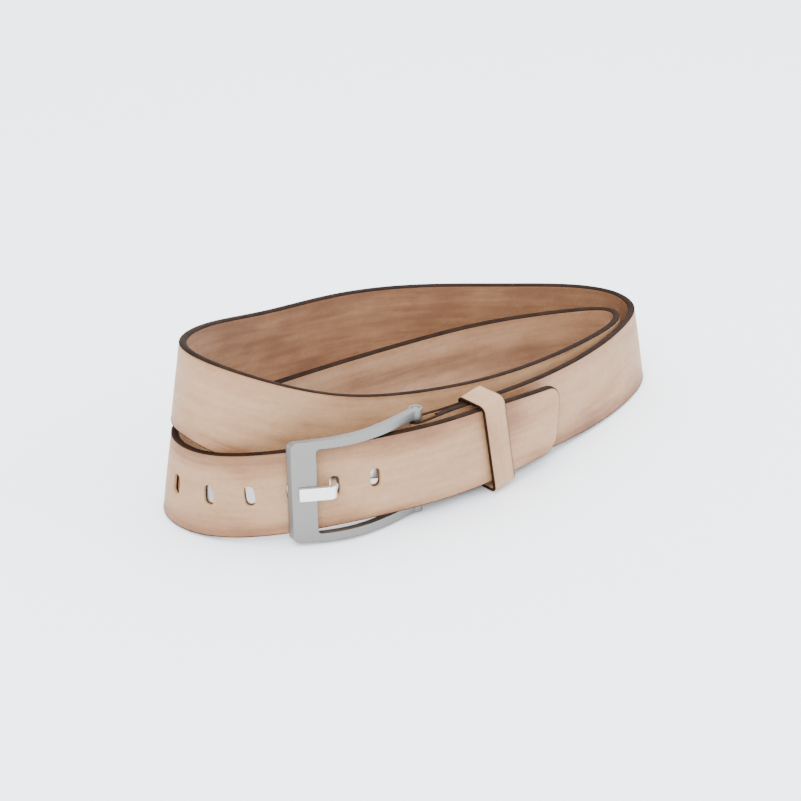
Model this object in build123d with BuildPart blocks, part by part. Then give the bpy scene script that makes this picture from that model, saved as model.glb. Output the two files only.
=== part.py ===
from build123d import *
import os
from math import cos, radians, sin

os.makedirs("parts", exist_ok=True)

# ---------------------------------------------------------------- dimensions, mm
# Strap: three glued layers, the grain layer outermost in the coil.
STRAP_WIDTH = 35.0
GRAIN = 1.4
CORE = 0.8
LINING = 1.0
GLUE = 0.02
STRAP = GRAIN + CORE + LINING
TIP_WIDTH = 31.0
TIP_TAPER = 48.0
TIP_RADIUS = 8.5

# Adjustment holes, oval across the strap, counted from the tip.
HOLES = 6
FIRST_HOLE = 94.5
HOLE_PITCH = 16.5
HOLE_LONG = 8.2
HOLE_SHORT = 4.0

# Fold of the grain layer round the pivot bar, measured from the first section.
PIVOT_U = -18.0
PIVOT_V = -0.7
BAR_RADIUS = 1.8
FOLD_INSIDE = 1.95
FOLD_OUTSIDE = FOLD_INSIDE + GRAIN
FILLER_START = -8.0
RETURN_LENGTH = 10.0
SLOT_HALF_WIDTH = 3.6
SLOT_LENGTH = 13.0
SLOT_FROM_V = -7.0
SLOT_TO_V = 2.75

# Screw pair that holds the return down.
SCREW_AT = 4.6
SCREW_W = 9.0
POST_RADIUS = 2.0
HEAD_RADIUS = 3.6
HEAD_THICKNESS = 0.8
HEAD_GAP = 0.03
THREAD_RADIUS = 1.2

# Buckle frame: a C-shaped plate, bowed outwards, closed by the pivot bar.
ARM_INSIDE = 18.5
ARM_OUTSIDE_PIVOT = 22.8
ARM_OUTSIDE_FRONT = 21.6
FRONT_INNER_U = -65.0
FRONT_OUTER_U = -73.5
EYE_RADIUS = 2.7
ARM_END_U = -14.6

# Tongue, bent up through the second hole and resting on the front bar.
TONGUE_WIDTH = 5.4
TONGUE_THICKNESS = 1.9
TONGUE_BORE = BAR_RADIUS + 0.06
TONGUE_EYE = TONGUE_BORE + TONGUE_THICKNESS

# Keeper loop, loose round both thicknesses of the strap and a little askew.
KEEPER_BAND = 11.5
KEEPER_LEATHER = 1.5
KEEPER_CORNER = 1.4
KEEPER_SEAM = 0.3
KEEPER_U = 16.0
KEEPER_HALF_HEIGHT = 19.3
KEEPER_FRONT = 9.1
KEEPER_BACK = -3.9
KEEPER_DROP = -0.3
KEEPER_TILT = 10.0
KEEPER_TURN = 3.4
STAPLE_SPAN = 7.0
STAPLE_WIRE = 0.7
STAPLE_CROWN = 0.5

# Route of the strap as control points of a uniform cubic B-spline: x, y, height of
# the lower edge, and lean of the strap's width from upright (top towards the coil).
ROUTE = [
    # front of the outer turn, away from the buckle
    (-45, -49, 5.5, 2), (-12, -43.5, 5.5, 2), (21, -38.2, 4.5, 2),
    (52, -28, 2, 5), (80, -15.3, 0.5, 8), (102, -2, 0, 10),
    # right turn, then the back run, climbing
    (118, 12, 0, 10), (118, 29, 0.5, 8), (99, 40, 4, 5),
    (62, 45, 9, 3), (22, 51, 15.5, 3), (-18, 51, 20, 3), (-58, 41, 22.3, 4),
    # left turn, standing on the lower turn
    (-93, 25, 32.6, 7), (-113, 4, 37.7, 9), (-110, -17, 38.4, 8), (-91, -28.5, 28.6, 8),
    # second front run, coming down inside the first
    (-58, -33, 15, 9), (-22, -31, 8, 9), (15, -29, 5, 7), (50, -20, 3, 6),
    # tight right turn and the diagonal run back
    (84, -6, 1, 4), (103, 5.5, 0, 3), (106, 18.5, 0, 3), (85, 25, 0, 3),
    (48, 32, 0, 3), (10, 30, 0, 3), (-30, 26, 0, 3), (-70, 20, 0.3, 5),
    # low left turn, then the buckled end and its tip
    (-105, 17.5, 0, 7), (-121, -2, 0, 9), (-112.5, -26.5, 0, 8), (-86, -45, 4.8, 7),
    (-50, -52, 6.3, 3), (-19.5, -52.6, 5.9, 2), (10, -47, 5.3, 2), (42, -38, 3.2, 0),
    (71, -25.5, 2, -2),
]
SPANS = len(ROUTE) - 3
# Puts the middle of the coil's box over the origin.
CENTRE_X = -0.2
CENTRE_Y = 1.2
TURNS = (5, 6, 7, 12, 13, 14, 15, 19, 23, 28, 29, 30, 31)
TIGHT_TURN = (20, 21, 22)
TIP_SPAN = 28


# ---------------------------------------------------------------- route of the strap
def route_point(u):
    """Middle of the strap at spline parameter u, and its lean in degrees."""
    span = max(0, min(int(u), SPANS - 1))
    t = u - span
    weights = (
        (1 - t) ** 3 / 6,
        (3 * t**3 - 6 * t**2 + 4) / 6,
        (-3 * t**3 + 3 * t**2 + 3 * t + 1) / 6,
        t**3 / 6,
    )
    x, y, low, lean = (
        sum(weight * ROUTE[span + k][axis] for k, weight in enumerate(weights))
        for axis in range(4)
    )
    rise = (STRAP_WIDTH * cos(radians(lean)) + STRAP * sin(radians(lean))) / 2
    return Vector(x + CENTRE_X, y + CENTRE_Y, low + rise), lean


def cross_section(u):
    """Plane across the strap: x inwards through the leather, y up its width."""
    here, lean = route_point(u)
    along = (route_point(u + 0.01)[0] - route_point(u - 0.01)[0]).normalized()
    inwards = Vector(-along.Y, along.X, 0).normalized()
    upright = along.cross(inwards)
    width = upright * cos(radians(lean)) + inwards * sin(radians(lean))
    return Plane(origin=here, x_dir=width.cross(along), z_dir=along)


def lengths():
    """Distance along the strap at every hundredth of a spline parameter."""
    points = [route_point(k / 100)[0] for k in range(SPANS * 100 + 1)]
    total = [0.0]
    for before, after in zip(points, points[1:]):
        total.append(total[-1] + (after - before).length)
    return total


LENGTHS = lengths()
STRAP_LENGTH = LENGTHS[-1]


def at_length(length):
    """Spline parameter at a distance along the strap."""
    after = next(k for k, total in enumerate(LENGTHS) if total >= length and k > 0)
    step = LENGTHS[after] - LENGTHS[after - 1]
    return (after - (LENGTHS[after] - length) / step) / 100


def width_at(u):
    """Strap width, tapering to the tip."""
    left = STRAP_LENGTH - LENGTHS[min(round(u * 100), len(LENGTHS) - 1)]
    share = min(1.0, left / TIP_TAPER)
    return TIP_WIDTH + (STRAP_WIDTH - TIP_WIDTH) * share


def stations(first, last):
    """Parameters of the lofted sections, closer together where the strap turns."""
    found = []
    for span in range(first, last):
        steps = 10 if span in TIGHT_TURN else 8 if span in TURNS else 4
        found += [span + k / steps for k in range(steps)]
    return found + [float(last)]


def lay_strip(near, far, parameters):
    """Lofts a strip of leather between two depths of the strap, along the route."""
    sections = []
    for u in parameters:
        with BuildSketch(cross_section(u)) as section:
            with Locations(((near + far) / 2, 0)):
                Rectangle(far - near, width_at(u))
        sections.append(section.sketch)
    loft(sections, ruled=True)


def lay_layer(near, far):
    """Lays one whole layer: the holed tip end first, then the rest of the coil."""
    lay_strip(near, far, stations(TIP_SPAN, SPANS))
    end = cross_section(SPANS)
    flat = Plane(origin=end.origin, x_dir=end.z_dir, z_dir=-end.x_dir)
    with BuildSketch(flat) as waste:
        Rectangle(4 * TIP_RADIUS, 2 * STRAP_WIDTH)
        with Locations((-2 * TIP_RADIUS - 10, 0)):
            RectangleRounded(
                4 * TIP_RADIUS + 20, TIP_WIDTH + 0.6, TIP_RADIUS, mode=Mode.SUBTRACT
            )
    extrude(waste.sketch, amount=2 * STRAP, both=True, mode=Mode.SUBTRACT)
    for k in range(HOLES):
        across = cross_section(at_length(STRAP_LENGTH - FIRST_HOLE - k * HOLE_PITCH))
        face = Plane(origin=across.origin, x_dir=across.z_dir, z_dir=-across.x_dir)
        with BuildSketch(face) as hole:
            SlotOverall(HOLE_LONG, HOLE_SHORT, rotation=90)
        extrude(hole.sketch, amount=STRAP, both=True, mode=Mode.SUBTRACT)
    lay_strip(near, far, stations(0, TIP_SPAN))


# Planes of the buckle end: u along the strap, v outwards, w up the width.
FIRST = cross_section(0)
SIDE = Plane(origin=FIRST.origin, x_dir=FIRST.z_dir, z_dir=-FIRST.y_dir)
FACE = Plane(origin=FIRST.origin, x_dir=FIRST.z_dir, z_dir=-FIRST.x_dir)
OUTER_V = STRAP / 2
GRAIN_V = OUTER_V - GRAIN
CORE_V = GRAIN_V - CORE
INNER_V = -STRAP / 2
RETURN_NEAR = INNER_V - GLUE
RETURN_FAR = RETURN_NEAR - GRAIN


# The same directions where the screws go through.
HERE = cross_section(at_length(SCREW_AT))
SCREW_FACE = Plane(origin=HERE.origin, x_dir=HERE.z_dir, z_dir=-HERE.x_dir)


def cut_post_holes():
    """Clears the two screw posts through the current part."""
    with BuildSketch(SCREW_FACE.offset(-5)) as posts:
        with Locations((0, SCREW_W), (0, -SCREW_W)):
            Circle(POST_RADIUS)
    extrude(posts.sketch, amount=8, mode=Mode.SUBTRACT)


# ---------------------------------------------------------------- strap layers
with BuildPart() as strap_grain_layer:
    lay_layer(-OUTER_V, -GRAIN_V)
    # The return strip, back along the inside of the strap.
    last = at_length(RETURN_LENGTH)
    lay_strip(-RETURN_NEAR, -RETURN_FAR, [last * k / 2 for k in range(3)])
    # The fold round the pivot bar.
    with BuildSketch(SIDE):
        with BuildLine():
            top = PIVOT_V + FOLD_OUTSIDE
            bottom = PIVOT_V - FOLD_OUTSIDE
            Spline((0, OUTER_V), (PIVOT_U, top), tangents=((-1, 0), (-1, 0)))
            ThreePointArc(
                (PIVOT_U, top), (PIVOT_U - FOLD_OUTSIDE, PIVOT_V), (PIVOT_U, bottom)
            )
            Spline((PIVOT_U, bottom), (0, RETURN_FAR), tangents=((1, 0), (1, 0)))
            Line((0, RETURN_FAR), (0, RETURN_NEAR))
            top = PIVOT_V + FOLD_INSIDE
            bottom = PIVOT_V - FOLD_INSIDE
            Spline((0, RETURN_NEAR), (PIVOT_U, bottom), tangents=((-1, 0), (-1, 0)))
            ThreePointArc(
                (PIVOT_U, bottom), (PIVOT_U - FOLD_INSIDE, PIVOT_V), (PIVOT_U, top)
            )
            Spline((PIVOT_U, top), (0, GRAIN_V), tangents=((1, 0), (1, 0)))
            Line((0, GRAIN_V), (0, OUTER_V))
        make_face()
    extrude(amount=STRAP_WIDTH / 2, both=True)
    # Slot in the fold for the tongue's eye.
    with BuildSketch(FACE.offset(SLOT_FROM_V)):
        with Locations((PIVOT_U, 0)):
            SlotOverall(SLOT_LENGTH, 2 * SLOT_HALF_WIDTH)
    extrude(amount=SLOT_TO_V - SLOT_FROM_V, mode=Mode.SUBTRACT)
    cut_post_holes()
strap_grain_layer.part.label = "strap_grain_layer"

with BuildPart() as strap_core:
    lay_layer(-GRAIN_V + GLUE, -CORE_V)
    with BuildSketch(FIRST):
        with Locations((-(GRAIN_V + CORE_V - GLUE) / 2, 0)):
            Rectangle(CORE - GLUE, STRAP_WIDTH)
    extrude(amount=FILLER_START)
    cut_post_holes()
strap_core.part.label = "strap_core"

with BuildPart() as strap_lining:
    lay_layer(-CORE_V + GLUE, -INNER_V)
    with BuildSketch(FIRST):
        with Locations((-(CORE_V + INNER_V - GLUE) / 2, 0)):
            Rectangle(LINING - GLUE, STRAP_WIDTH)
    extrude(amount=FILLER_START)
    cut_post_holes()
strap_lining.part.label = "strap_lining"


# ---------------------------------------------------------------- screws of the return
def screw_post(w):
    """Flat-headed tubular post, pushed in from the grain side."""
    with BuildPart() as post:
        with BuildSketch(SCREW_FACE.offset(OUTER_V + HEAD_GAP)):
            with Locations((0, w)):
                Circle(HEAD_RADIUS)
        extrude(amount=HEAD_THICKNESS)
        rim = post.faces().sort_by(Axis(SCREW_FACE.origin, SCREW_FACE.z_dir))[-1]
        fillet(rim.edges(), 0.3)
        with BuildSketch(SCREW_FACE.offset(RETURN_FAR)):
            with Locations((0, w)):
                Circle(POST_RADIUS - 0.02)
        extrude(amount=OUTER_V + HEAD_GAP - RETURN_FAR)
        with BuildSketch(SCREW_FACE.offset(RETURN_FAR)):
            with Locations((0, w)):
                Circle(THREAD_RADIUS)
        extrude(amount=3.4, mode=Mode.SUBTRACT)
    return post.part


def return_screw(w):
    """Slotted flat-headed screw, driven into the post from the inside."""
    with BuildPart() as screw:
        with BuildSketch(SCREW_FACE.offset(RETURN_FAR - HEAD_GAP - HEAD_THICKNESS)):
            with Locations((0, w)):
                Circle(HEAD_RADIUS)
        extrude(amount=HEAD_THICKNESS)
        rim = screw.faces().sort_by(Axis(SCREW_FACE.origin, SCREW_FACE.z_dir))[0]
        fillet(rim.edges(), 0.3)
        with BuildSketch(SCREW_FACE.offset(RETURN_FAR - HEAD_GAP)):
            with Locations((0, w)):
                Circle(THREAD_RADIUS - 0.02)
        extrude(amount=3.2)
        with BuildSketch(SCREW_FACE.offset(RETURN_FAR - HEAD_GAP - HEAD_THICKNESS)):
            with Locations((0, w)):
                Rectangle(2 * HEAD_RADIUS, 0.8)
        extrude(amount=0.4, mode=Mode.SUBTRACT)
    return screw.part


upper_screw_post = screw_post(SCREW_W)
upper_screw_post.label = "upper_screw_post"
lower_screw_post = screw_post(-SCREW_W)
lower_screw_post.label = "lower_screw_post"
upper_return_screw = return_screw(SCREW_W)
upper_return_screw.label = "upper_return_screw"
lower_return_screw = return_screw(-SCREW_W)
lower_return_screw.label = "lower_return_screw"

# ---------------------------------------------------------------- buckle frame
with BuildPart() as buckle_frame:
    # The plate seen from the front.
    with BuildSketch(FACE.offset(-20)) as plate:
        with BuildLine():
            Polyline(
                (ARM_END_U, ARM_OUTSIDE_PIVOT),
                (FRONT_OUTER_U, ARM_OUTSIDE_FRONT),
                (FRONT_OUTER_U, -ARM_OUTSIDE_FRONT),
                (ARM_END_U, -ARM_OUTSIDE_PIVOT),
                (ARM_END_U, -ARM_INSIDE),
                (FRONT_INNER_U, -ARM_INSIDE),
                (FRONT_INNER_U, ARM_INSIDE),
                (ARM_END_U, ARM_INSIDE),
                close=True,
            )
        make_face()
        fillet(plate.vertices().group_by(Axis.X)[0], 2.5)
        fillet(plate.vertices().filter_by(lambda v: abs(v.Y) == ARM_INSIDE)
               .group_by(Axis.X)[0], 1.5)
    extrude(amount=40)
    # Its bow seen from the side, with the eyes of the pivot bar.
    with BuildSketch(SIDE.offset(-30)):
        with BuildLine():
            back = Spline(
                (-80, -14.3), (-76, -11.4), (-70, -7.7), (-65, -5.1), (-57, -1.7),
                (-48, 0.5), (-38, 0.7), (-28, -0.4), (PIVOT_U, -2.2),
            )
            front = Spline(
                (-80, -11.2), (-76, -8.2), (-70, -4.5), (-65, -1.9), (-57, 1.5),
                (-48, 3.5), (-38, 3.7), (-28, 2.6), (PIVOT_U, 0.8),
            )
            Line(back @ 0, front @ 0)
            Line(back @ 1, front @ 1)
        make_face()
        with Locations((PIVOT_U, PIVOT_V)):
            Circle(EYE_RADIUS)
    extrude(amount=60, mode=Mode.INTERSECT)
    with BuildSketch(SIDE.offset(-30)):
        with Locations((PIVOT_U, PIVOT_V)):
            Circle(BAR_RADIUS + 0.01)
    extrude(amount=60, mode=Mode.SUBTRACT)
buckle_frame.part.label = "buckle_frame"

with BuildPart() as pivot_bar:
    with BuildSketch(SIDE.offset(-ARM_OUTSIDE_PIVOT + 0.2)):
        with Locations((PIVOT_U, PIVOT_V)):
            Circle(BAR_RADIUS)
    extrude(amount=2 * ARM_OUTSIDE_PIVOT - 0.4)
    chamfer(pivot_bar.edges().filter_by(GeomType.CIRCLE), 0.3)
pivot_bar.part.label = "pivot_bar"

# ---------------------------------------------------------------- tongue
with BuildPart() as tongue:
    with BuildSketch(SIDE.offset(-TONGUE_WIDTH / 2)):
        with BuildLine():
            shank = FilletPolyline(
                (PIVOT_U, PIVOT_V + TONGUE_BORE + TONGUE_THICKNESS / 2),
                (-22.3, 2.11), (-53.5, -8.4), (-59.45, 2.35), (-71.0, -3.8),
                radius=2.2,
            )
            offset(shank, amount=TONGUE_THICKNESS / 2)
        make_face()
        with Locations((PIVOT_U, PIVOT_V)):
            Circle(TONGUE_EYE)
            Circle(TONGUE_BORE, mode=Mode.SUBTRACT)
    extrude(amount=TONGUE_WIDTH)
    rims = tongue.faces().filter_by(Axis(FACE.origin, FACE.y_dir)).edges()
    fillet(rims.filter_by(GeomType.CIRCLE, reverse=True), 0.4)
tongue.part.label = "tongue"

# ---------------------------------------------------------------- keeper
KEEPER_DEPTH = KEEPER_FRONT - KEEPER_BACK
keeper_centre = (
    FIRST.origin
    + FIRST.z_dir * KEEPER_U
    - FIRST.x_dir * (KEEPER_FRONT + KEEPER_BACK) / 2
    + FIRST.y_dir * KEEPER_DROP
)
turned = FIRST.z_dir.rotate(Axis((0, 0, 0), FIRST.y_dir), KEEPER_TURN)
outwards = turned.cross(FIRST.y_dir)
KEEPER_ALONG = turned.rotate(Axis((0, 0, 0), outwards), KEEPER_TILT)
ACROSS_KEEPER = Plane(origin=keeper_centre, x_dir=-outwards, z_dir=KEEPER_ALONG)
KEEPER_BACK_FACE = KEEPER_DEPTH / 2 + KEEPER_LEATHER

with BuildPart() as keeper_staple:
    with BuildSketch(ACROSS_KEEPER.offset(-STAPLE_WIRE / 2)):
        with Locations((KEEPER_BACK_FACE + STAPLE_CROWN / 2, 0)):
            Rectangle(STAPLE_CROWN, STAPLE_SPAN)
        leg = (STAPLE_SPAN - STAPLE_WIRE) / 2
        with Locations((KEEPER_BACK_FACE - 0.6, leg), (KEEPER_BACK_FACE - 0.6, -leg)):
            Rectangle(1.2, STAPLE_WIRE)
    extrude(amount=STAPLE_WIRE)
keeper_staple.part.label = "keeper_staple"

with BuildPart() as keeper_band:
    with BuildSketch(ACROSS_KEEPER):
        RectangleRounded(
            KEEPER_DEPTH + 2 * KEEPER_LEATHER,
            2 * (KEEPER_HALF_HEIGHT + KEEPER_LEATHER),
            KEEPER_CORNER + KEEPER_LEATHER,
        )
        RectangleRounded(
            KEEPER_DEPTH, 2 * KEEPER_HALF_HEIGHT, KEEPER_CORNER, mode=Mode.SUBTRACT
        )
        # Butt seam of the loop, at the middle of its back.
        with Locations((KEEPER_BACK_FACE, 0)):
            Rectangle(4 * KEEPER_LEATHER, KEEPER_SEAM, mode=Mode.SUBTRACT)
    extrude(amount=KEEPER_BAND / 2, both=True)
    ends = keeper_band.faces().filter_by(Axis((0, 0, 0), KEEPER_ALONG))
    chamfer(ends.edges(), 0.3)
    add(keeper_staple.part, mode=Mode.SUBTRACT)
keeper_band.part.label = "keeper_band"

for piece in (
    strap_grain_layer.part, strap_core.part, strap_lining.part,
    upper_screw_post, lower_screw_post, upper_return_screw, lower_return_screw,
    buckle_frame.part, pivot_bar.part, tongue.part,
    keeper_band.part, keeper_staple.part,
):
    export_step(piece, f"parts/{piece.label}.step")
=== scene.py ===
"""A dress belt lying coiled and buckled: leather strap, metal buckle and loose keeper."""
from math import cos, pi, radians, sin, tanh

import bmesh
import bpy
import numpy as np
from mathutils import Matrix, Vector


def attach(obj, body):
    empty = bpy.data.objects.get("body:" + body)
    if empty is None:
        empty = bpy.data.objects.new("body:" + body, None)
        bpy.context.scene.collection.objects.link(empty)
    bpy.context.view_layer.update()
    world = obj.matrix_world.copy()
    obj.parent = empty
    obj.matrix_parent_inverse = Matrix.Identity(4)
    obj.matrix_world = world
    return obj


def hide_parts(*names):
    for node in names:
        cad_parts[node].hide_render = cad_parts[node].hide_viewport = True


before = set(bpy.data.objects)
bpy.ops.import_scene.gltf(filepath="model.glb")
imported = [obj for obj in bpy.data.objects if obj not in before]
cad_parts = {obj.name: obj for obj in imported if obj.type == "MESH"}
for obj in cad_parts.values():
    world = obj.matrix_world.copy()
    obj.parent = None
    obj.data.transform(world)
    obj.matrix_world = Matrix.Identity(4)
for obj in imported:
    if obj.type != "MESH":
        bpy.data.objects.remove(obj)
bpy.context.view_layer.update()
MM = 0.001

# ---------------------------------------------------------------- strap sizes, mm
STRAP_WIDTH = 35.0
GRAIN = 1.4
CORE = 0.8
LINING = 1.0
GLUE = 0.02
STRAP = GRAIN + CORE + LINING
TIP_WIDTH = 31.0
TIP_TAPER = 48.0
TIP_RADIUS = 8.5

# Depths through the strap from its middle, outwards positive.
OUTER = STRAP / 2
GRAIN_INNER = OUTER - GRAIN
CORE_INNER = GRAIN_INNER - CORE
INNER = -STRAP / 2
GRAIN_MIDDLE = OUTER - GRAIN / 2

# Oval holes across the strap, counted from the tip.
HOLES = 6
FIRST_HOLE = 94.5
HOLE_PITCH = 16.5
HOLE_HALF_ALONG = 2.0
HOLE_HALF_ACROSS = 4.1

# Fold of the grain layer round the pivot bar, and the strip it returns as.
PIVOT_U = -18.0
PIVOT_V = -0.7
FOLD_RADIUS = 1.95 + GRAIN / 2
RETURN_MIDDLE = INNER - GLUE - GRAIN / 2
RETURN_LENGTH = 10.0
FILLER_START = -8.0
SLOT_END_U = -11.5
SLOT_HALF_WIDTH = 3.6

# Painted edge: how far it comes in over the face, and how far below it.
PAINT = 0.6
PAINT_STEP = 0.06
FACE_GAP = 0.02

# Meshes of the strips: columns across, spacing of sections and rounding of arrises.
FACE_COLUMNS = 24
CORE_COLUMNS = 12
SECTION_STEP = 1.0
ARRIS = 0.22
# Room opened in the grid round a slot for its rings of faces, and its rounded lips.
SLOT_ROOM = 2.6
HOLE_LIP = 0.4
FOLD_SLOT_LIP = 0.3
# Grain face: how far it sinks at its edges and round the holes, and the dishes' size.
CROWN = 0.2
DISH = 0.16
DISH_SIZE = 1.45

# Keeper loop.
KEEPER_BAND = 11.5
KEEPER_LEATHER = 1.5
KEEPER_CORNER = 1.4
KEEPER_SEAM = 0.3
KEEPER_U = 16.0
KEEPER_HALF_HEIGHT = 19.3
KEEPER_FRONT = 9.1
KEEPER_BACK = -3.9
KEEPER_DROP = -0.3
KEEPER_TILT = 10.0
KEEPER_TURN = 3.4
KEEPER_COLUMNS = 14
KEEPER_STEP = 0.8
KEEPER_ARRIS = 0.25
KEEPER_FACE_INSET = 0.3
KEEPER_CROWN = 0.16
KEEPER_SWELL = 0.04
# Painted edges of the keeper: depth of the bead, and how far it stands proud.
KEEPER_PAINT = 0.34
KEEPER_PROUD = 0.03

# Route of the strap as control points of a uniform cubic B-spline: x, y, height of
# the lower edge, and lean of the strap's width from upright (top towards the coil).
ROUTE = np.array([
    # front of the outer turn, away from the buckle
    (-45, -49, 5.5, 2), (-12, -43.5, 5.5, 2), (21, -38.2, 4.5, 2),
    (52, -28, 2, 5), (80, -15.3, 0.5, 8), (102, -2, 0, 10),
    # right turn, then the back run, climbing
    (118, 12, 0, 10), (118, 29, 0.5, 8), (99, 40, 4, 5),
    (62, 45, 9, 3), (22, 51, 15.5, 3), (-18, 51, 20, 3), (-58, 41, 22.3, 4),
    # left turn, standing on the lower turn
    (-93, 25, 32.6, 7), (-113, 4, 37.7, 9), (-110, -17, 38.4, 8), (-91, -28.5, 28.6, 8),
    # second front run, coming down inside the first
    (-58, -33, 15, 9), (-22, -31, 8, 9), (15, -29, 5, 7), (50, -20, 3, 6),
    # tight right turn and the diagonal run back
    (84, -6, 1, 4), (103, 5.5, 0, 3), (106, 18.5, 0, 3), (85, 25, 0, 3),
    (48, 32, 0, 3), (10, 30, 0, 3), (-30, 26, 0, 3), (-70, 20, 0.3, 5),
    # low left turn, then the buckled end and its tip
    (-105, 17.5, 0, 7), (-121, -2, 0, 9), (-112.5, -26.5, 0, 8), (-86, -45, 4.8, 7),
    (-50, -52, 6.3, 3), (-19.5, -52.6, 5.9, 2), (10, -47, 5.3, 2), (42, -38, 3.2, 0),
    (71, -25.5, 2, -2),
], float)
SPANS = len(ROUTE) - 3
CENTRE = np.array([-0.2, 1.2, 0.0])


# ---------------------------------------------------------------- paths
def unit(v):
    """Vectors scaled to length one."""
    return v / np.linalg.norm(v, axis=-1, keepdims=True)


def running_length(points):
    """Distance along a polyline at each of its points."""
    steps = np.linalg.norm(np.diff(points, axis=0), axis=1)
    return np.concatenate([[0.0], np.cumsum(steps)])


class Path:
    """A line with, all along it, the directions across the leather and out of it."""

    def __init__(self, length, points, across, outwards):
        self.length = length
        self.table = np.hstack([points, across, outwards])

    def at(self, s):
        """Point, across and outwards at lengths s."""
        columns = [np.interp(s, self.length, column) for column in self.table.T]
        table = np.stack(columns, axis=-1)
        return table[..., 0:3], table[..., 3:6], table[..., 6:9]

    def place(self, s, y, d):
        """Points at lengths s, y up the width and d outwards."""
        point, across, outwards = self.at(s)
        return point + across * y[..., None] + outwards * d[..., None]


def strap_route():
    """Middle line of the strap with its width and outward directions."""
    u = np.linspace(0, SPANS, SPANS * 200 + 1)
    span = np.clip(u.astype(int), 0, SPANS - 1)
    t = (u - span)[:, None]
    weights = (
        (1 - t) ** 3 / 6,
        (3 * t**3 - 6 * t**2 + 4) / 6,
        (-3 * t**3 + 3 * t**2 + 3 * t + 1) / 6,
        t**3 / 6,
    )
    values = sum(weight * ROUTE[span + k] for k, weight in enumerate(weights))
    lean = np.radians(values[:, 3:4])
    points = values[:, :3] + CENTRE
    points[:, 2:] += (STRAP_WIDTH * np.cos(lean) + STRAP * np.sin(lean)) / 2
    along = unit(np.gradient(points, axis=0))
    flat = np.zeros_like(along)
    flat[:, 0], flat[:, 1] = -along[:, 1], along[:, 0]
    inwards = unit(flat)
    across = np.cross(along, inwards) * np.cos(lean) + inwards * np.sin(lean)
    return points, across, unit(np.cross(along, across))


def ease(t):
    """Smooth step from 0 to 1."""
    return t * t * (3 - 2 * t)


def fold_route(origin, along, outwards):
    """Middle of the grain layer from the first section, round the pivot, to the return."""
    t = np.linspace(0, 1, 60)
    top = PIVOT_V + FOLD_RADIUS
    bottom = PIVOT_V - FOLD_RADIUS
    angle = pi / 2 + pi * t
    u = np.concatenate([
        PIVOT_U * t, PIVOT_U + FOLD_RADIUS * np.cos(angle)[1:], PIVOT_U * (1 - t)[1:],
    ])
    v = np.concatenate([
        GRAIN_MIDDLE + (top - GRAIN_MIDDLE) * ease(t),
        PIVOT_V + FOLD_RADIUS * np.sin(angle)[1:],
        bottom + (RETURN_MIDDLE - bottom) * ease(t)[1:],
    ])
    return origin + u[:, None] * along + v[:, None] * outwards


def whole_strap():
    """Path of the strap: from the tip back to length 0, and on round the fold below 0."""
    points, across, outwards = strap_route()
    length = running_length(points)
    first = unit(points[1] - points[0])
    fold = fold_route(points[0], first, outwards[0])
    back = length <= RETURN_LENGTH
    strip = points[back] + outwards[back] * RETURN_MIDDLE
    fold = np.vstack([fold, strip[1:]])
    fold_across = np.vstack([np.repeat(across[:1], len(fold) - back.sum() + 1, axis=0),
                             across[back][1:]])
    fold_length = -running_length(fold)
    backwards = unit(np.gradient(fold, axis=0))
    fold_outwards = unit(np.cross(-backwards, fold_across))
    reference = fold - fold_outwards * GRAIN_MIDDLE
    order = slice(None, 0, -1)
    return Path(
        np.concatenate([fold_length[order], length]),
        np.vstack([reference[order], points]),
        np.vstack([fold_across[order], across]),
        np.vstack([fold_outwards[order], outwards]),
    )


STRAP_PATH = whole_strap()
STRAP_LENGTH = STRAP_PATH.length[-1]
FOLD_LENGTH = -STRAP_PATH.length[0]
FOLD_MIDDLE = (FOLD_LENGTH - RETURN_LENGTH) / 2
FIRST_POINT, FIRST_ACROSS, FIRST_OUT = (v[0] for v in STRAP_PATH.at(np.array([0.0])))
FIRST_ALONG = np.cross(FIRST_ACROSS, FIRST_OUT)
HOLE_LENGTHS = [STRAP_LENGTH - FIRST_HOLE - k * HOLE_PITCH for k in range(HOLES)]


# ---------------------------------------------------------------- leather meshes
def half_width(s):
    """Half the strap's width at length s, tapering to the tip."""
    share = min(1.0, (STRAP_LENGTH - s) / TIP_TAPER)
    return (TIP_WIDTH + (STRAP_WIDTH - TIP_WIDTH) * share) / 2


def straight_station(s, half):
    """One section: length and half width as functions of the inset from the edge."""
    return (lambda inset: s + 0 * inset), (lambda inset: half - inset)


def strap_stations(start, step):
    """Sections from a length to the strap's rounded tip."""
    turn = STRAP_LENGTH - TIP_RADIUS
    count = round((turn - start) / step)
    found = [straight_station(s, half_width(s)) for s in np.linspace(start, turn, count)[:-1]]
    half = half_width(turn)
    for angle in np.linspace(0, pi / 2, 14):
        found.append((
            lambda inset, a=angle: turn + (TIP_RADIUS - inset) * sin(a),
            lambda inset, a=angle: half - TIP_RADIUS + (TIP_RADIUS - inset) * cos(a),
        ))
    return found


def oval(angles, half_along, half_across, grow):
    """Points round a slot with round ends, at each angle from its middle."""
    r = min(half_along, half_across) + grow
    ends_along = max(0.0, half_along - half_across)
    ends_across = max(0.0, half_across - half_along)
    c, s = np.cos(angles), np.sin(angles)
    along = r * c + ends_along * np.tanh(4 * c) / tanh(4)
    across = r * s + ends_across * np.tanh(4 * s) / tanh(4)
    return along, across


def slab_border(inset, top, bottom, radius):
    """Edge of a slab: its two arrises rounded, listed from top to bottom."""
    turn = np.linspace(0, pi / 2, 5)
    upper = [(inset + radius * (1 - sin(a)), top - radius * (1 - cos(a))) for a in turn]
    return upper + [(e, top + bottom - d) for e, d in reversed(upper)]


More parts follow.
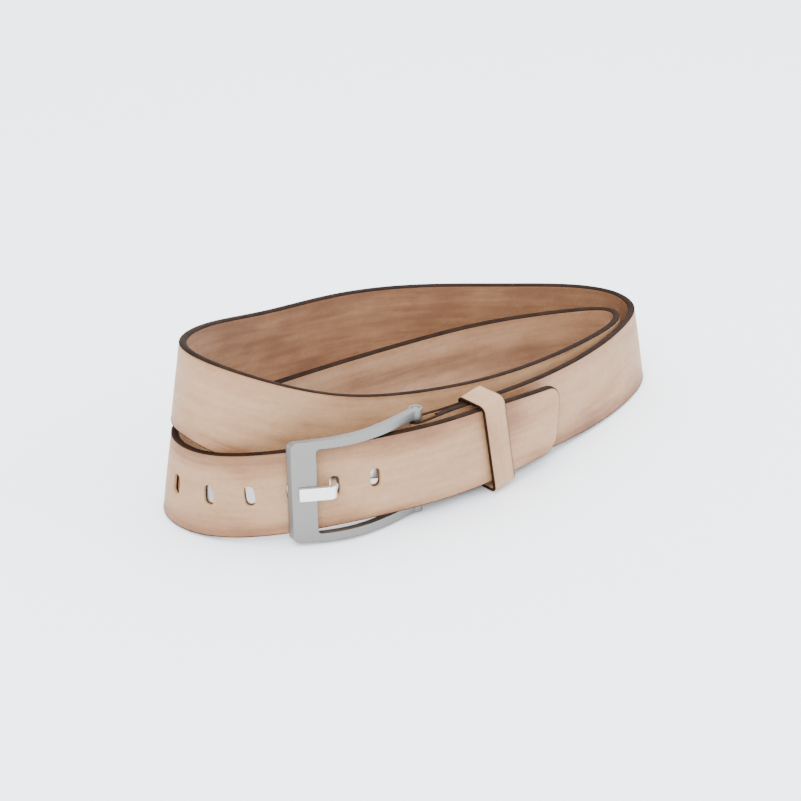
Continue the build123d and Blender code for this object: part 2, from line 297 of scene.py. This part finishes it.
def paint_dome(top, bottom):
    """Domed bead of edge paint, from its top rim round to its bottom rim."""
    middle, half = (top + bottom) / 2, (top - bottom) / 2
    return [
        (PAINT * (1 - cos(a)), middle + half * sin(a))
        for a in np.linspace(pi / 2, -pi / 2, 15)
    ]


class Strip:
    """One closed strip of leather laid along a path, with slots cut through it."""

    def __init__(self, path, stations, border, columns, relief=None, tip=False):
        self.path = path
        self.relief = relief or (lambda s, y: 0 * s)
        self.eta = np.linspace(-1, 1, columns)
        self.columns = columns
        inset = np.array([e for e, d in border])
        depth = np.array([d for e, d in border])
        self.inset, self.depth = inset, depth
        side = inset[1:-1]
        rows = []
        for along, half in stations:
            top_s, bottom_s = along(inset[0]), along(inset[-1])
            rows.append((
                np.concatenate([
                    np.full(columns, top_s), along(side),
                    np.full(columns, bottom_s), along(side)[::-1],
                ]),
                np.concatenate([
                    self.eta * half(inset[0]), half(side),
                    self.eta[::-1] * half(inset[-1]), -half(side)[::-1],
                ]),
            ))
        self.s = np.array([row[0] for row in rows])
        self.y = np.array([row[1] for row in rows])
        self.d = np.concatenate([
            np.full(columns, depth[0]), depth[1:-1],
            np.full(columns, depth[-1]), depth[1:-1][::-1],
        ])[None, :] + 0 * self.s
        self.d[:, :columns] -= self.relief(self.s[:, :columns], self.y[:, :columns])
        self.count, self.around = self.s.shape
        self.points = [(self.s.ravel(), self.y.ravel(), self.d.ravel())]
        self.total = self.s.size
        self.faces = []
        self.open = np.zeros((self.count - 1, self.around), bool)
        self.close_start()
        if tip:
            self.close_tip(stations[-1])
        else:
            self.faces.append([self.corner(self.count - 1, k) for k in range(self.around)])

    def corner(self, i, k):
        """Index of the vertex at section i, place k round it."""
        return i * self.around + k % self.around

    def add(self, s, y, d):
        """Adds vertices and returns their indices."""
        first = self.total
        self.points.append((s, y, d))
        self.total += len(s)
        return list(range(first, self.total))

    def close_start(self):
        """Closes the strip's first section."""
        self.faces.append([self.corner(0, k) for k in reversed(range(self.around))])

    def close_tip(self, station):
        """Rounds the strip over its end with rows of the same columns."""
        along, half = station
        last = self.count - 1
        side = len(self.inset) - 2
        near = self.columns
        far = 2 * self.columns + side
        inner = self.eta[1:-1]
        row = [self.corner(last, self.columns - 1 - k) for k in range(self.columns)]
        for j in range(side):
            e, d = self.inset[1 + j], self.depth[1 + j]
            middle = self.add(
                np.full(len(inner), along(e)), inner[::-1] * half(e), np.full(len(inner), d),
            )
            following = [self.corner(last, near + j), *middle,
                         self.corner(last, far + side - 1 - j)]
            self.bridge(row, following)
            row = following
        bottom = [self.corner(last, self.columns + side + k) for k in range(self.columns)]
        self.bridge(row, bottom)

    def bridge(self, row, following, ring=False):
        """Faces between two rows of as many vertices."""
        for k in range(len(row) if ring else len(row) - 1):
            after = (k + 1) % len(row)
            self.faces.append([row[k], row[after], following[after], following[k]])

    def cut(self, s, half_along, half_across, room, lip):
        """Cuts a slot with rounded lips, centred at length s."""
        middle = self.s[:, 0]
        i0 = int(np.searchsorted(middle, s - half_along - room))
        i1 = int(np.searchsorted(middle, s + half_along + room))
        widths = self.eta * np.abs(self.y[i0, 0])
        k0 = int(np.searchsorted(widths, -half_across - room))
        k1 = int(np.searchsorted(widths, half_across + room))
        flip = 2 * self.columns + len(self.inset) - 3
        self.open[i0:i1, k0:k1] = True
        self.open[i0:i1, flip - k1:flip - k0] = True
        edge = [(i, k0) for i in range(i0, i1)] + [(i1, k) for k in range(k0, k1)]
        edge += [(i, k1) for i in range(i1, i0, -1)] + [(i0, k) for k in range(k1, k0, -1)]
        top = [self.corner(i, k) for i, k in edge]
        bottom = [self.corner(i, flip - k) for i, k in edge]
        rim_s = np.array([self.s[i, k] for i, k in edge]) - s
        rim_y = np.array([self.y[i, k] for i, k in edge])
        angles = np.arctan2(rim_y / (half_across + room), rim_s / (half_along + room))
        out_s, out_y = oval(angles, half_along, half_across, lip)
        rows = [top]
        for share in (0.4, 0.7, 0.88):
            ring_s = s + rim_s + (out_s - rim_s) * share
            ring_y = rim_y + (out_y - rim_y) * share
            rows.append(self.add(ring_s, ring_y, self.depth[0] - self.relief(ring_s, ring_y)))
        for turn in np.linspace(0, pi / 2, 5):
            ring_s, ring_y = oval(angles, half_along, half_across, lip * (1 - sin(turn)))
            ring_s = ring_s + s
            drop = lip * (1 - cos(turn)) + self.relief(ring_s, ring_y)
            rows.append(self.add(ring_s, ring_y, self.depth[0] - drop))
        ring_s, ring_y = oval(angles, half_along, half_across, 0)
        rows.append(self.add(ring_s + s, ring_y, np.full(len(edge), self.depth[-1])))
        rows.append(bottom)
        for row, following in zip(rows, rows[1:]):
            self.bridge(row, following, ring=True)

    def build(self, name, tone=None):
        """Makes the Blender object, with its lengths and widths as a UV map."""
        for i in range(self.count - 1):
            for k in range(self.around):
                if not self.open[i, k]:
                    self.faces.append([
                        self.corner(i, k), self.corner(i + 1, k),
                        self.corner(i + 1, k + 1), self.corner(i, k + 1),
                    ])
        s, y, d = (np.concatenate([p[axis] for p in self.points]) for axis in range(3))
        keep = np.unique(np.concatenate([np.array(face) for face in self.faces]))
        renumber = np.zeros(self.total, int)
        renumber[keep] = np.arange(len(keep))
        faces = [[int(renumber[v]) for v in face] for face in self.faces]
        s, y, d = s[keep], y[keep], d[keep]
        piece = new_piece(name, self.path.place(s, y, d) * MM, faces)
        uv = piece.data.uv_layers.new(name="Leather")
        corners = np.zeros(len(piece.data.loops), int)
        piece.data.loops.foreach_get("vertex_index", corners)
        uv.data.foreach_set("uv", (np.stack([s, y], axis=1)[corners] * MM).ravel())
        # Per-point tone: burnish, with painted shade and painted light laid on the leather.
        burnish_and_painted_light = piece.data.attributes.new("burnish_and_painted_light", "FLOAT", "POINT")
        shade = tone(s, y) if tone else 0 * s
        burnish_and_painted_light.data.foreach_set("value", shade.astype(np.float32))
        return piece


def new_piece(name, vertices, faces, sharp=35):
    """A smooth-shaded mesh object with its faces turned outwards."""
    mesh = bpy.data.meshes.new(name)
    mesh.from_pydata([tuple(v) for v in vertices], [], faces)
    work = bmesh.new()
    work.from_mesh(mesh)
    bmesh.ops.recalc_face_normals(work, faces=work.faces)
    work.to_mesh(mesh)
    work.free()
    mesh.shade_smooth()
    mesh.set_sharp_from_angle(angle=radians(sharp))
    piece = bpy.data.objects.new(name, mesh)
    bpy.context.scene.collection.objects.link(piece)
    return piece


def finish_piece(piece, body, slot, material, *replaced):
    """Gives a piece its material and its body, and hides the CAD nodes it stands for."""
    piece.data.materials.append(material)
    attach(piece, body)
    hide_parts(*replaced)


# ---------------------------------------------------------------- node materials
class Nodes:
    """Short names for building one material's node tree."""

    def __init__(self, name):
        self.material = bpy.data.materials.new(name)
        self.material.use_nodes = True
        self.tree = self.material.node_tree
        self.shader = self.tree.nodes["Principled BSDF"]

    def node(self, kind, inputs=None, **settings):
        """Adds a node; inputs may be values or other nodes' output sockets."""
        made = self.tree.nodes.new(kind)
        for key, value in settings.items():
            setattr(made, key, value)
        for key, value in (inputs or {}).items():
            if isinstance(value, bpy.types.NodeSocket):
                self.tree.links.new(value, made.inputs[key])
            else:
                made.inputs[key].default_value = value
        return made

    def math(self, operation, a, b=0.0, c=0.0):
        """A math node's result."""
        return self.node("ShaderNodeMath", {0: a, 1: b, 2: c}, operation=operation).outputs[0]

    def noise(self, vector, scale, detail=3.0, roughness=0.5):
        """A noise texture's value."""
        return self.node("ShaderNodeTexNoise", {
            "Vector": vector, "Scale": scale, "Detail": detail, "Roughness": roughness,
        }).outputs["Fac"]

    def stretched(self, vector, scale):
        """A vector scaled per axis."""
        return self.node("ShaderNodeMapping", {"Vector": vector, "Scale": scale}).outputs[0]

    def between(self, value, low, high):
        """Smooth step of a value from 0 at low to 1 at high."""
        return self.node("ShaderNodeMapRange", {
            "Value": value, "From Min": low, "From Max": high, "To Min": 0.0, "To Max": 1.0,
        }, interpolation_type="SMOOTHSTEP").outputs["Result"]

    def ramp(self, value, stops):
        """Colour ramp through (place, colour) stops."""
        ramp = self.node("ShaderNodeValToRGB", {"Fac": value})
        elements = ramp.color_ramp.elements
        while len(elements) < len(stops):
            elements.new(0.5)
        for element, (place, colour) in zip(elements, stops):
            element.position = place
            element.color = (*colour, 1.0)
        return ramp.outputs["Color"]

    def mix(self, share, a, b, blend="MIX"):
        """Colour mix. The node's colour sockets are its seventh and eighth."""
        a, b = ((*c, 1.0) if isinstance(c, tuple) else c for c in (a, b))
        return self.node("ShaderNodeMix", {0: share, 6: a, 7: b},
                         data_type="RGBA", blend_type=blend).outputs[2]

    def bump(self, height, strength, distance, normal=None):
        """A bumped normal."""
        inputs = {"Height": height, "Strength": strength, "Distance": distance}
        if normal:
            inputs["Normal"] = normal
        return self.node("ShaderNodeBump", inputs).outputs["Normal"]

    def finish(self, **sockets):
        """Sets the shader's sockets by name, values or links, and returns the material."""
        for key, value in sockets.items():
            socket = self.shader.inputs[key.replace("_", " ")]
            if isinstance(value, bpy.types.NodeSocket):
                self.tree.links.new(value, socket)
            else:
                socket.default_value = (*value, 1.0) if isinstance(value, tuple) else value
        return self.material


def srgb(*levels):
    """Linear colour of screen levels from 0 to 255."""
    return tuple(
        level / 255 / 12.92 if level < 10.3 else ((level / 255 + 0.055) / 1.055) ** 2.4
        for level in levels
    )


# ---------------------------------------------------------------- materials
def leather(name, tones, roughness, grain):
    """Aniline leather: washed tones with brushed streaks, pebbled grain and pores."""
    n = Nodes(name)
    uv = n.node("ShaderNodeUVMap", uv_map="Leather").outputs["UV"]
    # Per-point tone from the mesh: burnish, painted shade and painted light, fed into the
    # wash.
    burnish_and_painted_light = n.node("ShaderNodeAttribute", attribute_name="burnish_and_painted_light").outputs["Fac"]
    cloud = n.noise(n.stretched(uv, (1.0, 2.0, 1.0)), 34.0, 4.0, 0.55)
    streak = n.noise(n.stretched(uv, (9.0, 120.0, 1.0)), 3.0, 3.0, 0.6)
    fleck = n.noise(uv, 420.0, 3.0, 0.6)
    wash = n.math("MULTIPLY_ADD", cloud, 0.75, burnish_and_painted_light)
    wash = n.math("MULTIPLY_ADD", streak, 0.5, wash)
    wash = n.math("SUBTRACT", wash, 0.64)
    colour = n.ramp(wash, tones)
    fine = n.ramp(fleck, [(0.3, (0.86, 0.84, 0.82)), (0.6, (1.0, 1.0, 1.0))])
    colour = n.mix(0.7, colour, fine, "MULTIPLY")
    warp = n.node("ShaderNodeTexNoise", {"Vector": uv, "Scale": 500.0}).outputs["Color"]
    warped = n.node("ShaderNodeMix", {0: 0.0006, 4: uv, 5: warp}, data_type="VECTOR")
    cells = n.node("ShaderNodeTexVoronoi", {
        "Vector": warped.outputs[1], "Scale": grain,
    }, feature="DISTANCE_TO_EDGE").outputs["Distance"]
    pebble = n.between(cells, 0.0, 0.22)
    pores = n.between(n.noise(uv, 3.2 * grain, 2.0), 0.28, 0.5)
    height = n.math("MULTIPLY_ADD", pores, 0.45, pebble)
    height = n.math("MULTIPLY_ADD", fleck, 0.8, height)
    rough = n.math("MULTIPLY_ADD", pebble, -0.08, roughness - 0.01)
    rough = n.math("MULTIPLY_ADD", cloud, 0.18, rough)
    return n.finish(
        Base_Color=colour, Roughness=rough, Normal=n.bump(height, 0.5, 0.00016),
    )


def edge_paint():
    """Dark matt edge paint, a little uneven."""
    n = Nodes("edge_paint")
    place = n.node("ShaderNodeTexCoord").outputs["Object"]
    wave = n.noise(place, 160.0, 3.0)
    fine = n.noise(place, 1500.0, 2.0)
    colour = n.ramp(wave, [(0.3, srgb(22, 12, 6)), (0.7, srgb(38, 22, 12))])
    return n.finish(
        Base_Color=colour, Roughness=n.math("MULTIPLY_ADD", fine, 0.2, 0.55),
        Specular_IOR_Level=0.06,
        Normal=n.bump(n.math("MULTIPLY_ADD", fine, 0.4, wave), 0.25, 0.0002),
    )


def metal(name, level, roughness, brushed, rounding):
    """Satin plate: brushed along its length, softly rounded arrises, faint scratches."""
    n = Nodes(name)
    place = n.node("ShaderNodeTexCoord").outputs["Object"]
    brushing = n.noise(n.stretched(place, (30.0, 1600.0, 1600.0)), 1.0, 2.0)
    cloud = n.noise(place, 70.0, 3.0)
    scratch = n.noise(n.stretched(place, (160.0, 2400.0, 700.0)), 1.0, 0.0)
    nick = n.between(scratch, 0.76, 0.8)
    dark = tuple(0.86 * c for c in level)
    colour = n.mix(n.math("MULTIPLY_ADD", brushing, 0.6, n.math("MULTIPLY", cloud, 0.4)),
                   dark, level)
    rough = n.math("MULTIPLY_ADD", brushing, 0.14, roughness)
    rough = n.math("MULTIPLY_ADD", cloud, 0.1, rough)
    soft = n.node("ShaderNodeBevel", {"Radius": rounding}, samples=6).outputs["Normal"]
    height = n.math("MULTIPLY_ADD", nick, -0.6, n.math("MULTIPLY", brushing, brushed))
    return n.finish(
        Base_Color=colour, Metallic=1.0, Roughness=rough,
        Normal=n.bump(height, 0.25, 0.00006, soft),
    )


TAN = [(0.0, srgb(170, 136, 103)), (0.35, srgb(155, 117, 82)),
       (0.65, srgb(128, 87, 54)), (1.0, srgb(92, 57, 32))]
LINED = [(0.0, srgb(164, 129, 97)), (0.35, srgb(141, 102, 69)),
         (0.65, srgb(112, 74, 45)), (1.0, srgb(84, 52, 30))]
GRAIN_LEATHER = leather("grain_leather", TAN, 0.5, 1100.0)
LINING_LEATHER = leather("lining_leather", LINED, 0.66, 1500.0)
KEEPER_GRAIN = leather("keeper_leather", TAN, 0.48, 1200.0)
EDGE_PAINT = edge_paint()
FRAME_METAL = metal("frame_metal", (0.235, 0.228, 0.218), 0.32, 0.6, 0.0004)
TONGUE_METAL = metal("tongue_metal", (0.86, 0.85, 0.83), 0.24, 0.3, 0.0003)
SCREW_METAL = metal("screw_metal", (0.46, 0.45, 0.44), 0.28, 0.4, 0.0001)


# ---------------------------------------------------------------- strap
# Patches of painted shade and painted light on the leather's tone: place along and up the
# strap and their half sizes, all in mm, and strength, darker above 0 and paler below.
# Grain face: painted shade in strips along the edges where the strap's layers lie against
# each other.
GRAIN_SHADE_PATCHES = [
    (925, 15, 45, 5, 0.3), (1003, 14, 32, 6, 0.34), (1045, 8, 9, 12, 0.3),
    (1066, -14, 12, 5, 0.2), (565, -7, 60, 10, 0.42), (500, -3, 40, 8, 0.24),
    (455, -15, 40, 5, 0.3), (95, -15, 60, 5, 0.4), (30, 13, 22, 6, 0.2),
    (905, -15, 40, 4, 0.25), (965, -16, 30, 4, 0.2),
]
# Lining: painted light on the face of the inner loop, painted shade streaks along it and a
# faint painted shade on the back wall's inner face.
LINING_LIGHT_AND_SHADE_PATCHES = [
    (765, 0, 110, 40, -0.34), (770, 4, 45, 4, 0.42), (820, -5, 30, 5, 0.3),
    (715, -1, 40, 5, 0.4), (690, -10, 30, 5, 0.3), (280, 6, 110, 18, 0.1),
]


def tone_of(base, patches, edge):
    """Tone at each point: a base, darker towards the edges as burnish and painted shade, and
    soft patches of painted shade and painted light.
    """
    def tone(s, y):
        share = np.clip(np.abs(y) / (STRAP_WIDTH / 2), 0, 1)
        # Darker towards the edges: partly burnish, partly painted shade where the strap meets
        # other layers.
        value = base + edge * share**6
        for middle, height, along, across, strength in patches:
            away = ((s - middle) / along) ** 2 + ((y - height) / across) ** 2
            value = value + strength * np.exp(-away)
        return value
    return tone


def dished(s, y):
    """How far the grain face sinks: crowned across its width, dished round the holes."""
    sink = CROWN * np.clip(np.abs(y) / (STRAP_WIDTH / 2), 0, 1) ** 4
    for middle in HOLE_LENGTHS:
        far = np.hypot((s - middle) / HOLE_HALF_ALONG, y / HOLE_HALF_ACROSS)
        sink = sink + DISH * np.exp(-((far / DISH_SIZE) ** 4))
    return sink


def cut_holes(strip, lip):
    """Cuts the adjustment holes through a strip."""
    for middle in HOLE_LENGTHS:
        strip.cut(middle, HOLE_HALF_ALONG, HOLE_HALF_ACROSS, SLOT_ROOM, lip)


def build_strap():
    """The strap's grain leather, lining and painted core."""
    inset = PAINT + FACE_GAP
    grain = Strip(
        STRAP_PATH, strap_stations(-FOLD_LENGTH, SECTION_STEP),
        slab_border(inset, OUTER, GRAIN_INNER + FACE_GAP, ARRIS),
        FACE_COLUMNS, dished, tip=True,
    )
    cut_holes(grain, HOLE_LIP)
    grain.cut(
        -FOLD_MIDDLE, FOLD_MIDDLE + SLOT_END_U, SLOT_HALF_WIDTH, SLOT_ROOM, FOLD_SLOT_LIP,
    )
    finish_piece(
        grain.build("strap_grain", tone_of(0.3, GRAIN_SHADE_PATCHES, 0.3)),
        "strap", "grain_leather", GRAIN_LEATHER, "strap_grain_layer",
    )
    lining = Strip(
        STRAP_PATH, strap_stations(FILLER_START, SECTION_STEP),
        slab_border(inset, CORE_INNER - FACE_GAP, INNER, ARRIS), FACE_COLUMNS, tip=True,
    )
    cut_holes(lining, 0.0)
    finish_piece(
        lining.build("strap_lining_leather", tone_of(0.5, LINING_LIGHT_AND_SHADE_PATCHES, 0.25)),
        "strap", "lining_leather", LINING_LEATHER, "strap_lining",
    )
    dome = paint_dome(OUTER - PAINT_STEP, INNER + PAINT_STEP)
    core = Strip(
        STRAP_PATH, strap_stations(FILLER_START, SECTION_STEP),
        [(PAINT, GRAIN_INNER), *dome, (PAINT, CORE_INNER)], CORE_COLUMNS, tip=True,
    )
    cut_holes(core, 0.0)
    finish_piece(
        core.build("strap_edge_and_core"), "strap", "core_leather", EDGE_PAINT, "strap_core",
    )


def build_fold_edges():
    """Painted edges of the fold and the return strip, above and below."""
    top, bottom = OUTER - PAINT_STEP, GRAIN_INNER + PAINT_STEP
    loop = [(PAINT, top), *paint_dome(top, bottom)[1:-1], (PAINT, bottom)]
    inset = np.array([e for e, d in loop])
    depth = np.array([d for e, d in loop])
    lengths = np.linspace(-FOLD_LENGTH, 0.0, round(FOLD_LENGTH) + 1)
    s = np.repeat(lengths[:, None], len(loop), axis=1)
    for name, side in (("fold_edge_upper", 1), ("fold_edge_lower", -1)):
        y = side * (STRAP_WIDTH / 2 - inset)[None, :] + 0 * s
        piece = tube(name, STRAP_PATH.place(s, y, depth[None, :] + 0 * s))
        finish_piece(piece, "strap", "core_leather", EDGE_PAINT)


def tube(name, loops):
    """Joins closed loops of points into one tube with flat ends."""
    count, around = loops.shape[:2]
    faces = [list(range(around)), [(count - 1) * around + k for k in range(around)]]
    for i in range(count - 1):
        for k in range(around):
            after = (k + 1) % around
            faces.append([i * around + k, (i + 1) * around + k,
                          (i + 1) * around + after, i * around + after])
    return new_piece(name, loops.reshape(-1, 3) * MM, faces)


def keeper_course():
    """Keeper's inner face, once round from its back seam: depth, height, normal's angle."""
    depth = (KEEPER_FRONT - KEEPER_BACK) / 2
    corner = KEEPER_CORNER
    side, top = depth - corner, KEEPER_HALF_HEIGHT - corner
    seam = KEEPER_SEAM / 2
    course = [(-depth, seam, pi)]
    for d, h, first, last in (
        (-side, top, pi, pi / 2), (side, top, pi / 2, 0),
        (side, -top, 0, -pi / 2), (-side, -top, -pi / 2, -pi),
    ):
        for angle in np.linspace(first, last, 12):
            course.append((d + corner * cos(angle), h + corner * sin(angle), angle))
    course.append((-depth, -seam, -pi))
    dense = []
    for start, end in zip(course, course[1:]):
        steps = max(1, round(np.hypot(end[0] - start[0], end[1] - start[1]) / KEEPER_STEP))
        for k in range(steps):
            dense.append([p + (q - p) * (k / steps) for p, q in zip(start, end)])
    dense.append(course[-1])
    return np.array(dense).T


def keeper_ring():
    """Path once round the keeper, in the middle of its leather."""
    turn, tilt = radians(KEEPER_TURN), radians(KEEPER_TILT)
    turned = FIRST_ALONG * cos(turn) + np.cross(FIRST_ACROSS, FIRST_ALONG) * sin(turn)
    outwards = unit(np.cross(turned, FIRST_ACROSS))
    along = turned * cos(tilt) + np.cross(outwards, turned) * sin(tilt)
    across = np.cross(outwards, along)
    middle = (FIRST_POINT + FIRST_ALONG * KEEPER_U + FIRST_ACROSS * KEEPER_DROP
              + FIRST_OUT * (KEEPER_FRONT + KEEPER_BACK) / 2)
    d, h, angle = keeper_course()
    inner = middle + d[:, None] * outwards + h[:, None] * across
    normal = np.cos(angle)[:, None] * outwards + np.sin(angle)[:, None] * across
    run = running_length(inner)
    return Path(run, inner + normal * KEEPER_LEATHER / 2,
                np.repeat(along[None, :], len(run), axis=0), normal)


def build_keeper():
    """Loose keeper loop: a soft rounded band with painted edges, over the strap ends."""
    ring = keeper_ring()
    half, rim = KEEPER_BAND / 2, KEEPER_LEATHER / 2
    faces = Strip(
        ring, [straight_station(s, half) for s in ring.length],
        slab_border(KEEPER_FACE_INSET, rim, -rim, KEEPER_ARRIS), KEEPER_COLUMNS,
        lambda s, y: KEEPER_CROWN * np.clip(np.abs(y) / half, 0, 1) ** 3 - KEEPER_SWELL,
    )
    finish_piece(
        faces.build("keeper_loop", lambda s, y: 0.22 + 0.3 * (np.abs(y) / half) ** 5),
        "keeper", "keeper_leather", KEEPER_GRAIN, "keeper_band",
    )
    sweep = np.linspace(pi / 2, -pi / 2, 11)
    level = rim - PAINT_STEP
    inset = np.concatenate([[PAINT], KEEPER_PAINT * (1 - np.cos(sweep)), [PAINT]])
    depth = np.concatenate([[level], level * np.sin(sweep), [-level]])
    s = np.repeat(ring.length[:, None], len(inset), axis=1)
    for name, side in (("keeper_edge_left", -1), ("keeper_edge_right", 1)):
        y = side * (half + KEEPER_PROUD - inset)[None, :] + 0 * s
        piece = tube(name, ring.place(s, y, depth[None, :] + 0 * s))
        finish_piece(piece, "keeper", "keeper_leather", EDGE_PAINT)


build_strap()
build_fold_edges()
build_keeper()


# ---------------------------------------------------------------- metal nodes
for node, material in (
    ("buckle_frame", FRAME_METAL), ("pivot_bar", FRAME_METAL), ("tongue", TONGUE_METAL),
    ("upper_screw_post", SCREW_METAL), ("lower_screw_post", SCREW_METAL),
    ("upper_return_screw", SCREW_METAL), ("lower_return_screw", SCREW_METAL),
    ("keeper_staple", SCREW_METAL),
):
    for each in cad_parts[node].material_slots:
        each.material = material


# ---------------------------------------------------------------- studio
FLOOR_HALF = 4.0
FLOOR_COLOUR = (0.925, 0.95, 0.975, 1.0)
SKY_COLOUR = (0.9, 0.94, 1.0, 1.0)
SKY_STRENGTH = 2.8
# Round lamps aimed at the middle of the coil: name, place and size in metres, watts.
LIGHTS = (
    ("key_light", (-0.9, -1.1, 1.5), 1.4, 50.0),
    ("top_light", (0.3, 0.5, 1.8), 1.6, 34.0),
    ("fill_light", (1.4, -0.9, 0.8), 1.2, 14.0),
)


def studio():
    """Pale floor, soft light from all round and three lamps."""
    floor = bpy.data.materials.new("pale_floor")
    floor.use_nodes = True
    shader = floor.node_tree.nodes["Principled BSDF"]
    shader.inputs["Base Color"].default_value = FLOOR_COLOUR
    shader.inputs["Roughness"].default_value = 0.9
    shader.inputs["Specular IOR Level"].default_value = 0.1
    mesh = bpy.data.meshes.new("floor")
    corners = [(x * FLOOR_HALF, y * FLOOR_HALF, 0)
               for x, y in ((-1, -1), (1, -1), (1, 1), (-1, 1))]
    mesh.from_pydata(corners, [], [(0, 1, 2, 3)])
    plane = bpy.data.objects.new("floor", mesh)
    mesh.materials.append(floor)
    bpy.context.scene.collection.objects.link(plane)
    world = bpy.data.worlds.new("studio")
    bpy.context.scene.world = world
    world.use_nodes = True
    sky = world.node_tree.nodes["Background"]
    sky.inputs["Color"].default_value = SKY_COLOUR
    sky.inputs["Strength"].default_value = SKY_STRENGTH
    for name, place, size, power in LIGHTS:
        data = bpy.data.lights.new(name, "AREA")
        data.shape = "DISK"
        data.size = size
        data.energy = power
        light = bpy.data.objects.new(name, data)
        light.location = place
        light.rotation_mode = "QUATERNION"
        light.rotation_quaternion = (-Vector(place)).to_track_quat("-Z", "Y")
        bpy.context.scene.collection.objects.link(light)


# Camera: degrees, metres and millimetres of lens.
AZIMUTH = -28.0
ELEVATION = 28.0
DISTANCE = 0.775
AIM = Vector((-0.0222, -0.01685, 0.0302))
LENS = 85.0
SENSOR = 36.0
FRAMING_SHIFT = 0.0119


def add_camera():
    """The camera, low to the left of the buckle."""
    data = bpy.data.cameras.new("camera")
    data.lens = LENS
    data.sensor_width = SENSOR
    data.shift_y = FRAMING_SHIFT
    data.clip_start, data.clip_end = 0.01, 20.0
    camera = bpy.data.objects.new("camera", data)
    a, e = radians(AZIMUTH), radians(ELEVATION)
    back = Vector((sin(a) * cos(e), -cos(a) * cos(e), sin(e)))
    camera.location = AIM + back * DISTANCE
    camera.rotation_mode = "QUATERNION"
    camera.rotation_quaternion = (-back).to_track_quat("-Z", "Y")
    bpy.context.scene.collection.objects.link(camera)
    bpy.context.scene.camera = camera


studio()
add_camera()
